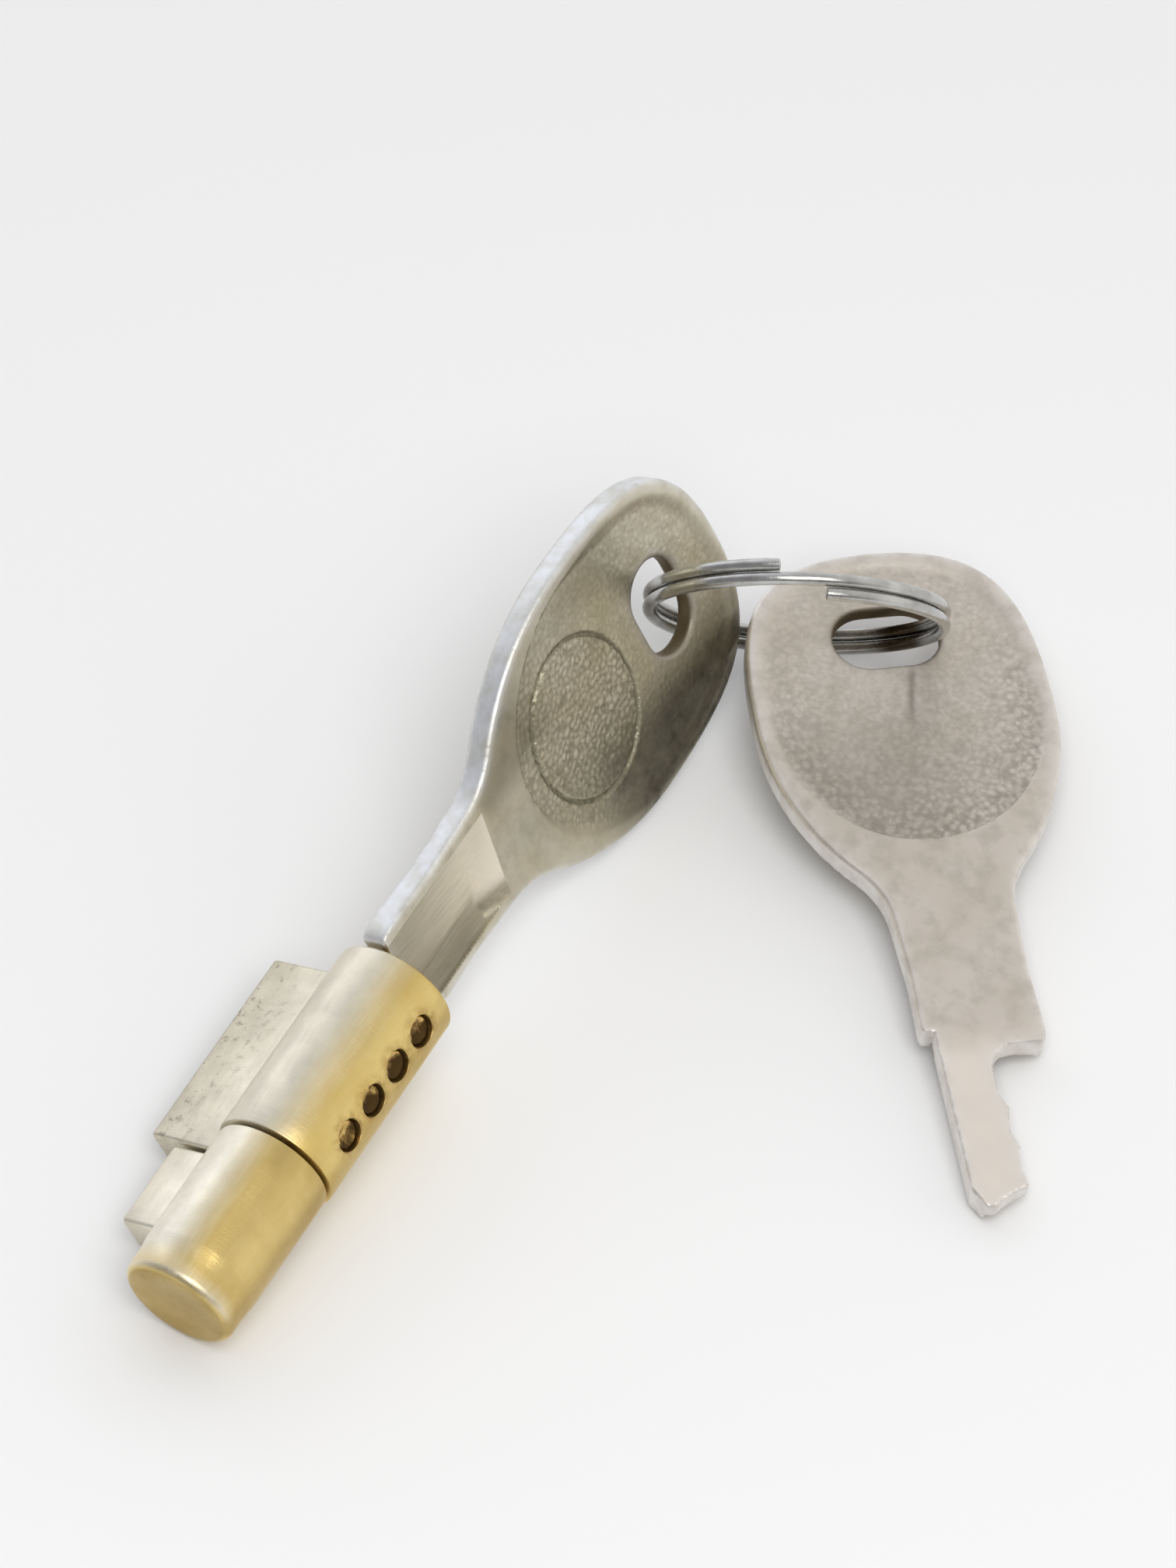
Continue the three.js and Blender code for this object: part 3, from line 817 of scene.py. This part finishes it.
def key_wear(mesh, f, wall):
    """The attributes that the nickel reads, for face B, face A and the walls in turn."""
    x, y = f.x, f.y
    none = np.zeros(len(x))
    wall_none = np.zeros(len(wall))

    def mark(name, face_b, face_a, walls=wall_none):
        attribute(mesh, name, np.concatenate([face_b, face_a, walls]))

    edge = np.exp(-f.to_edge / 0.38)
    # painted highlight: a bright band along the border of face B's bow
    painted_sheen = 0.6 * np.exp(-(f.to_outline / 0.95) ** 2) * smooth(y, 16.0, 23.0)
    shaded = smooth(-x, 1.5, 8.0) * smooth(y, 22.0, 29.0)
    # painted shade lies along the milled flat's wall and thickens down the shank
    mill_shade = (1 - smooth(x, -3.2, -1.4 + 0.08 * f.below)) * (0.45 + 0.55 * smooth(f.below, 0, 6))
    mill_shade = np.maximum(mill_shade, 0.6 * smooth(f.below, 3.5, 12.0)) * f.mill * f.on_shank
    # the rim colour is partly rubbed edges and partly a painted highlight; painted shade takes it away
    mark("edge", np.maximum(edge, painted_sheen), edge * (1 - mill_shade) * (1 - 0.9 * shaded), wall_none + 1.0)
    mark("recess", f.in_b, f.in_a * (1 - f.mill))
    mark("milled", none, f.mill)
    sheen = f.mill * f.on_shank * np.exp(-f.below / 4.0)
    mark("run_out_sheen", none, sheen * smooth(f.rise, 0.6, 1.0))
    # dirt between the pebbles; painted shade in the crease, the oval groove and along the milled
    # flat's wall
    crevice_b = f.between * f.in_b * (0.1 + 0.34 * f.grade) + 0.65 * f.crease
    crevice_a = np.maximum(f.between * f.in_a * f.cast * 0.8, mill_shade) + f.groove * f.in_a
    mark("crevice_dirt_and_shade", np.clip(crevice_b, 0, 1), np.clip(crevice_a, 0, 1))
    mark("grains", (0.25 + 0.75 * f.grade) * f.in_b, 0.5 * f.cast * f.in_a)
    mark("tip", 1 - smooth(y, -1.5, 3.0), none)
    # painted shade on the hole's walls and round its edge
    near_hole = np.exp(-np.clip(f.to_hole, 0, None) / 0.35)
    in_hole = (np.hypot(wall[:, 0], wall[:, 1] - HOLE_Y) < 5.5).astype(float)
    mark("hole_shade", near_hole, near_hole, in_hole)
    # face B is darker towards the bottom of its recess; face A gets painted shade over one side and
    # the neck, and is darker towards +X
    low_b = 0.7 * smooth(33.0 - y, -3.0, 8.0) * (1 - 0.75 * smooth(x, -2.0, 7.0)) * f.in_b
    neck = smooth(x, 1.2, 4.4) * smooth(y, 13.6, 15.6) * (1 - smooth(y, 21.5, 27.0))
    darker_side = 0.3 * smooth(x, 6.0, 9.0) * smooth(y, 20.0, 25.0) * (1 - smooth(y, 35.0, 41.0))
    mark("dark_and_shaded_side", low_b, np.maximum.reduce([shaded, 0.7 * neck, darker_side]))


PLAN = key_plan()


def key_object(name, matrix, grain):
    """A key: face B is +Z, face A is -Z and the grain is the pebbles' size in mm."""
    relief = key_relief(PLAN[0], grain)
    points, faces, wall = key_solid(*PLAN, relief.top, relief.bottom)
    obj = mesh_from(name, [tuple(p) for p in points], faces, matrix, 42)
    key_wear(obj.data, relief, wall)
    return obj


key_box = np.vstack([np.column_stack([OUTLINE, np.full(len(OUTLINE), z)]) for z in (-HALF, HALF)])
SPARE = placed(SPARE_TURN, key_box, "spare_key")
face_one = nickel("nickel_worn", (0.70, 0.66, 0.54), (0.58, 0.52, 0.36), (0.80, 0.81, 0.83),
                  0.34, 0.4, 0.92)
face_two = nickel("nickel_spare", (0.695, 0.635, 0.565), (0.615, 0.555, 0.47),
                  (0.82, 0.795, 0.765), 0.36, 0.5, 0.42)
finish(key_object("key_in_plug", INSERTED, 0.62), "key", ["inserted_key"], face_one)
finish(key_object("key_spare", SPARE, 0.66), "spare", ["spare_key"], face_two)


# ---- Split ring ----------------------------------------------------------------------

def ring_coil():
    """A helical spring ring of round wire; its two cut ends are lightly rounded over."""
    steps, sides = 260, 20
    t = np.linspace(0, RING_TURNS, steps + 1)
    angle = math.radians(RING_START) + 2 * math.pi * t
    centre = np.column_stack([
        RING_R * np.cos(angle), RING_R * np.sin(angle),
        t * RING_PITCH - RING_TURNS * RING_PITCH / 2,
    ])
    outward = np.column_stack([np.cos(angle), np.sin(angle), np.zeros(steps + 1)])
    ahead = np.gradient(centre, axis=0)
    ahead /= np.linalg.norm(ahead, axis=1)[:, None]
    across = np.cross(ahead, outward)
    around_wire = np.linspace(0, 2 * math.pi, sides, endpoint=False)
    rows = [(0, 0.72, 0.0), (0, 0.93, 0.05)]
    rows += [(i, 1.0, 0.0) for i in range(2, steps - 1)]
    rows += [(steps, 0.93, -0.05), (steps, 0.72, 0.0)]
    points = [
        centre[i] + ahead[i] * push
        + RING_WIRE * share * (math.cos(a) * outward[i] + math.sin(a) * across[i])
        for i, share, push in rows for a in around_wire
    ]
    faces = [
        (a + k, a + (k + 1) % sides, a + sides + (k + 1) % sides, a + sides + k)
        for a in range(0, sides * (len(rows) - 1), sides) for k in range(sides)
    ]
    faces.append(tuple(range(sides))[::-1])
    faces.append(tuple(range(len(points) - sides, len(points))))
    return np.array(points), faces


coil_points, coil_faces = ring_coil()
RING = placed(RING_TURN, coil_points, "split_ring")
ring = mesh_from("ring_of_wire", [tuple(p) for p in coil_points], coil_faces, RING, 40)
# painted shade: the wire is darker where it runs through the keys' holes
swings = [j for j in record["behaviour"]["joints"] if j["name"] in ("ring_swing", "spare_swing")]
ring_at = np.array([tuple(v.co) for v in ring.data.vertices])
to_hole = np.min([np.linalg.norm(ring_at - j["pos_m"], axis=1) for j in swings], axis=0) * 1000
attribute(ring.data, "shade_darkening", 1 - smooth(to_hole, 1.6, 4.0))
finish(ring, "ring", ["split_ring"],
       wire_metal("ring_nickel_wire", (0.56, 0.56, 0.545), (0.37, 0.36, 0.34), 0.2))


# ---- Barrel --------------------------------------------------------------------------

def bar_outline(inner, outer, width):
    """A rectangle along X, from inner to outer."""
    half = width / 2
    return [(inner, -half), (outer, -half), (outer, half), (inner, half)]


def lug_bar(lug):
    return prism(bar_outline(lug.inner, lug.outer, lug.width), lug.start, lug.end,
                 around(LUG_ANGLE), lug.bevel)


def body_object():
    """The body with its lug, the plug's bore, the pin chambers and the tooth that stops the plug."""
    rim = 0.45
    ledge = TOTAL - COUNTERBORE_DEPTH
    shell = lathe("body_of_brass", [
        (BORE_R, BODY_START), (BODY_R - 0.12, BODY_START), (BODY_R - 0.03, BODY_START + 0.04),
        (BODY_R, BODY_START + 0.13), (BODY_R, 16), (BODY_R, 20), (BODY_R, 24), (BODY_R, 28),
        *arc(BODY_R - rim, TOTAL - rim, rim, 0, 90, 8),
        (COUNTERBORE_R + 0.1, TOTAL), (COUNTERBORE_R, TOTAL - 0.1), (COUNTERBORE_R, ledge),
        (BORE_R, ledge),
    ], 160)
    head_room = HEAD_R + 0.3
    clear_head = lathe("tool", [(0, 5), (head_room, 5), (head_room, BODY_START), (0, BODY_START)], 128)
    clear_bore = lathe("tool", [
        (0, 10), (BORE_R, 10), (BORE_R, ledge + 0.05), (COUNTERBORE_R, ledge + 0.05),
        (COUNTERBORE_R, TOTAL + 1), (0, TOTAL + 1),
    ], 128)
    lug = carve(lug_bar(BODY_LUG), [("DIFFERENCE", clear_head)])
    steps = [("UNION", lug), ("DIFFERENCE", clear_bore)]
    chamber = [(0, 2.6), (CHAMBER_R, 2.6), (CHAMBER_R, 9.2), (0, 9.5)]
    fill_hole = [(0, 2.6), (FILL_HOLE_R, 2.6), (FILL_HOLE_R, 4.84), (FILL_HOLE_R + 0.12, 4.99),
                 (FILL_HOLE_R + 0.25, 5.3), (FILL_HOLE_R + 0.25, 6), (0, 6)]
    for station in PIN_STATIONS:
        steps.append(("DIFFERENCE", radial_tool(chamber, LUG_ANGLE, station)))
        steps.append(("DIFFERENCE", radial_tool(fill_hole, FILL_ANGLE, station, 48)))
    tooth = prism(bar_outline(3.905, 4.6, 0.9), TOTAL - 1.4, PLUG_END, around(TOOTH_ANGLE))
    steps.append(("UNION", tooth))
    return settle(carve(shell, steps), LOCK)


def plug_object():
    """The plug with its flange and tail, the keyway, the key pins' holes and the sector cut."""
    flange = PLUG_END - FLANGE_T
    core = lathe("plug_of_brass", [
        (0, TAIL_START), (TAIL_R - 0.3, TAIL_START), (TAIL_R, TAIL_START + 0.3), (TAIL_R, BODY_START),
        (PLUG_R, BODY_START), (PLUG_R, flange), (FLANGE_R, flange), (FLANGE_R, PLUG_END - 0.22),
        (FLANGE_R - 0.07, PLUG_END - 0.06), (FLANGE_R - 0.22, PLUG_END), (3.2, PLUG_END),
        (0, PLUG_END),
    ], 128)
    gap = 0.2
    face, left, step, right = HALF + gap, BLADE_LEFT - gap, MILL_LEFT + gap, 1.45
    milled = -HALF + MILL_DEPTH - gap
    keyway = [(left, -face), (step, -face), (step, milled), (right, milled), (right, face),
              (left, face)]
    keyway = [(w + KEY_OFFSET, n) for w, n in keyway]
    steps = [("DIFFERENCE", prism(keyway, TOTAL - KEYWAY_DEPTH, TOTAL + 1, around(KEY_ANGLE)))]
    pin_hole = [(0, 0.9), (KEY_PIN_HOLE_R, 0.9), (KEY_PIN_HOLE_R, 5), (0, 5)]
    for station in PIN_STATIONS:
        steps.append(("DIFFERENCE", radial_tool(pin_hole, KEY_ANGLE, station)))
    cross_hole = [(0, -2.1), (CROSS_HOLE_R, -2.1), (CROSS_HOLE_R, 5), (0, 5)]
    steps.append(("DIFFERENCE", radial_tool(cross_hole, KEY_ANGLE + 180, CROSS_PIN_STATION)))
    # the sector lets the body's tooth pass through a quarter turn, 13 degrees wider each way
    first, last = TOOTH_ANGLE - 90 - 13, TOOTH_ANGLE + 13
    sector = [(r * math.cos(math.radians(a)), r * math.sin(math.radians(a)))
              for r, angles in ((3.72, np.linspace(first, last, 30)),
                                (4.6, np.linspace(last, first, 30)))
              for a in angles]
    steps.append(("DIFFERENCE", prism(sector, PLUG_END - 1.25, PLUG_END + 0.5)))
    return settle(carve(core, steps), LOCK)


def head_object():
    """The head: a waisted nose with a rounded rim, its lug, and holes for the tail and its pin."""
    rim = 0.75
    head = lathe("head_of_brass", [
        (0, 0.03), (2.6, 0.03), (2.75, 0.0), (NOSE_R - rim, 0.0),
        *arc(NOSE_R - rim, rim, rim, -80, 0, 9),
        (NOSE_R, NOSE_LENGTH - 1.1), (NOSE_R + 0.02, NOSE_LENGTH - 0.8),
        (HEAD_R - 0.07, NOSE_LENGTH - 0.1), (HEAD_R - 0.01, NOSE_LENGTH + 0.3),
        (HEAD_R, NOSE_LENGTH + 0.6), (HEAD_R, 7), (HEAD_R, 11),
        (HEAD_R, HEAD_LENGTH - 0.14), (HEAD_R - 0.04, HEAD_LENGTH - 0.04),
        (HEAD_R - 0.14, HEAD_LENGTH), (0, HEAD_LENGTH),
    ], 160)
    lug = lug_bar(HEAD_LUG)
    socket_r, socket_end = TAIL_R + 0.15, TAIL_START - 0.3
    socket = lathe("tool", [(0, socket_end), (socket_r, socket_end), (socket_r, 15), (0, 15)], 96)
    cross_hole = [(0, 0), (CROSS_HOLE_R, 0), (CROSS_HOLE_R, 4.65), (CROSS_HOLE_R + 0.15, 4.85),
                  (CROSS_HOLE_R + 0.15, 6), (0, 6)]
    cross = radial_tool(cross_hole, KEY_ANGLE + 180, CROSS_PIN_STATION)
    steps = [("UNION", lug), ("DIFFERENCE", socket), ("DIFFERENCE", cross)]
    return settle(carve(head, steps), LOCK)


def fill_disc(index):
    """A staked disc that closes a chamber: dished, with a raised lip, and one side marked for painted
    shade.
    """
    obj = radial_tool([
        (0, 3.98), (DISC_R - 0.07, 3.98), (DISC_R, 4.06), (DISC_R, 4.42), (DISC_R - 0.07, 4.5),
        (0.86, 4.5), (0.7, 4.38), (0.45, 4.3), (0.2, 4.28), (0, 4.28),
    ], FILL_ANGLE, PIN_STATIONS[index])
    obj.name = f"staked_plug_{index + 1}"
    shade(obj.data, 40)
    # the side that gets painted shade
    fill = math.radians(FILL_ANGLE)
    low = [v.co.x * math.sin(fill) - v.co.z * math.cos(fill) for v in obj.data.vertices]
    attribute(obj.data, "dirt_and_shade", smooth(np.array(low), -0.9, 0.5))
    return settle(obj, LOCK)


def mark_metal(obj, gold, painted_highlight):
    """Marks a lug's rough outer face, the darker places and the flank that gets a painted highlight.

    Going round the barrel, the flank turns from gold to the painted highlight between these two
    angles.
    """
    mesh = obj.data
    own = LOCK.inverted()
    co = np.array([tuple(own @ v.co) for v in mesh.vertices])
    station = co[:, 1]
    angle = np.degrees(np.arctan2(co[:, 2], co[:, 0]))
    angle = np.where(angle < -90, angle + 360, angle)
    lug = math.radians(LUG_ANGLE)
    away = co[:, 0] * math.cos(lug) + co[:, 2] * math.sin(lug)
    attribute(mesh, "rough_face", smooth(away, 9.2, 11.0))
    along_lug = np.where(station < 12.8, 0.85, smooth(station, 14, 22))
    # darker places: the lug's face and a dirty line along its outer edge, painted shade on the nose's
    # end face and in a band under the main light's highlight, and the side towards +X
    attribute(mesh, "painted_shade_and_dirt", np.maximum.reduce([
        0.55 * smooth(away, 4.8, 6.5) * along_lug,
        smooth(away, 10.5, 10.9),
        0.75 * (1 - smooth(station, 0.03, 0.12)),
        0.6 * (1 - smooth(np.abs(angle), 6, 26)),
        0.5 * np.exp(-((angle - 66) / 12) ** 2),
    ]))
    # painted highlight: the upper left flank and the lug's faces are painted a nearly white brass
    highlit_flank = np.maximum(smooth(angle, gold, painted_highlight), smooth(away, 3.6, 5.2))
    highlit_flank *= 0.35 + 0.65 * smooth(station, 0.6, 3.2)
    # painted highlight along the nose's rounded edge, but not on its end face
    fillet_highlight = 0.62 * np.exp(-((station - 0.5) / 0.36) ** 2) * smooth(angle, -10, 40)
    attribute(mesh, "painted_highlight", np.maximum(highlit_flank, fillet_highlight) * smooth(station, 0.03, 0.25))


drilled = [LOCK @ around(FILL_ANGLE) @ Vector((BODY_R, station, 0)) for station in PIN_STATIONS]
body_metal = brass("brass_body", (0.79, 0.62, 0.255), (0.70, 0.52, 0.18), 0.4,
                   (0.78, 0.73, 0.60), 0.6, drilled)
head_metal = brass("brass_head", (0.74, 0.575, 0.245), (0.62, 0.465, 0.175), 0.38,
                   (0.90, 0.85, 0.72), 0.5)
plug_metal = brass("brass_plug", (0.66, 0.50, 0.22), (0.50, 0.36, 0.14), 0.42)
brown = dark_disc_metal()
pin_steel = wire_metal("pin_steel", (0.55, 0.55, 0.56), (0.42, 0.42, 0.43), 0.3)
coil_steel = wire_metal("coil_steel", (0.5, 0.5, 0.51), (0.36, 0.36, 0.37), 0.28)

body = finish(body_object(), "lock", ["lock_body"], body_metal)
mark_metal(body, 46, 110)
head = finish(head_object(), "plug", ["locking_head"], head_metal)
mark_metal(head, 68, 122)
finish(plug_object(), "plug", ["plug_core"], plug_metal)
for index in range(len(PIN_STATIONS)):
    finish(fill_disc(index), "lock", [f"chamber_plug_{index + 1}"], brown)

# the pieces inside the barrel stay as the CAD model has them, with a finish
hidden = {"head_cross_pin": pin_steel}
for number in range(1, len(PIN_STATIONS) + 1):
    hidden[f"driver_pin_{number}"] = plug_metal
    hidden[f"key_pin_{number}"] = plug_metal
    hidden[f"chamber_spring_{number}"] = coil_steel
for node, material in hidden.items():
    obj = frame["nodes"][node]
    if not obj.material_slots:
        obj.data.materials.append(material)
    for material_slot in obj.material_slots:
        material_slot.material = material

# ---- Floor, light and camera ---------------------------------------------------------

def pale_floor():
    mesh = bpy.data.meshes.new("floor")
    mesh.from_pydata([(-3, -3, 0), (3, -3, 0), (3, 3, 0), (-3, 3, 0)], [], [(0, 1, 2, 3)])
    paper = bpy.data.materials.new("pale_floor")
    paper.use_nodes = True
    shader = paper.node_tree.nodes["Principled BSDF"]
    shader.inputs["Base Color"].default_value = (0.925, 0.925, 0.925, 1)
    shader.inputs["Roughness"].default_value = 0.9
    shader.inputs["Specular IOR Level"].default_value = 0.1
    mesh.materials.append(paper)
    return make_object("floor", mesh)


def softbox(name, direction, distance, power, color=(1, 1, 1)):
    """A square area light, half a metre wide, that faces the middle of the set."""
    light = bpy.data.lights.new(name, "AREA")
    light.shape = "SQUARE"
    light.size = 0.5
    light.energy = power
    light.color = color
    obj = make_object(name, light)
    way = Vector(direction).normalized()
    obj.location = Vector((0, 0, 0.006)) + way * distance
    obj.rotation_euler = way.to_track_quat("Z", "Y").to_euler()


def studio_world():
    """A studio that is bright low behind the set and dim in front of it, cool on the left.

    Each ramp goes along one axis, from -1 to 1, and the three are multiplied.
    """
    world = bpy.data.worlds.new("studio")
    bpy.context.scene.world = world
    world.use_nodes = True
    nodes, links = world.node_tree.nodes, world.node_tree.links
    where = nodes.new("ShaderNodeTexCoord")
    split = nodes.new("ShaderNodeSeparateXYZ")
    links.new(where.outputs["Generated"], split.inputs[0])
    tone = None
    for socket, stops in (
        ("Y", ((0.3, (0.36, 0.36, 0.36)), (0.62, (1, 1, 1)))),
        ("X", ((0.0, (0.95, 0.97, 1.02)), (1.0, (0.90, 0.88, 0.84)))),
        ("Z", ((0.5, (1.1, 1.1, 1.1)), (0.92, (0.8, 0.8, 0.8)))),
    ):
        fade = nodes.new("ShaderNodeMapRange")
        ramp = nodes.new("ShaderNodeValToRGB")
        fade.inputs["From Min"].default_value = -1
        links.new(split.outputs[socket], fade.inputs["Value"])
        links.new(fade.outputs[0], ramp.inputs[0])
        for element, (at, color) in zip(ramp.color_ramp.elements, stops):
            element.position = at
            element.color = (*color, 1)
        if tone is None:
            tone = ramp.outputs[0]
            continue
        blend = nodes.new("ShaderNodeMix")
        blend.data_type = "RGBA"
        blend.blend_type = "MULTIPLY"
        blend.inputs[0].default_value = 1.0
        links.new(tone, blend.inputs[6])
        links.new(ramp.outputs[0], blend.inputs[7])
        tone = blend.outputs[2]
    links.new(tone, nodes["Background"].inputs["Color"])
    nodes["Background"].inputs["Strength"].default_value = 1.05


def place_camera():
    """A long lens that looks down over the set; its place is given from the floor under the nose."""
    data = bpy.data.cameras.new("camera")
    data.sensor_width = 36
    data.lens = 142.857
    data.clip_start = 0.01
    data.dof.use_dof = False
    camera = make_object("camera", data)
    forward = Vector((-0.318, 0.543, -0.777)).normalized()
    camera.location = Vector((lock_origin.x, lock_origin.y, 0)) + Vector((0.1593, -0.2110, 0.39096))
    camera.rotation_euler = forward.to_track_quat("-Z", "Y").to_euler()
    bpy.context.scene.camera = camera


pale_floor()
softbox("main_light", (0.4, -0.42, 1.0), 0.7, 2.45)
softbox("flank_light", (-0.82, 0.42, 0.42), 0.9, 0.28, (0.94, 0.97, 1.0))
studio_world()
place_camera()
bpy.context.scene.view_settings.view_transform = "Standard"

bpy.context.view_layer.update()
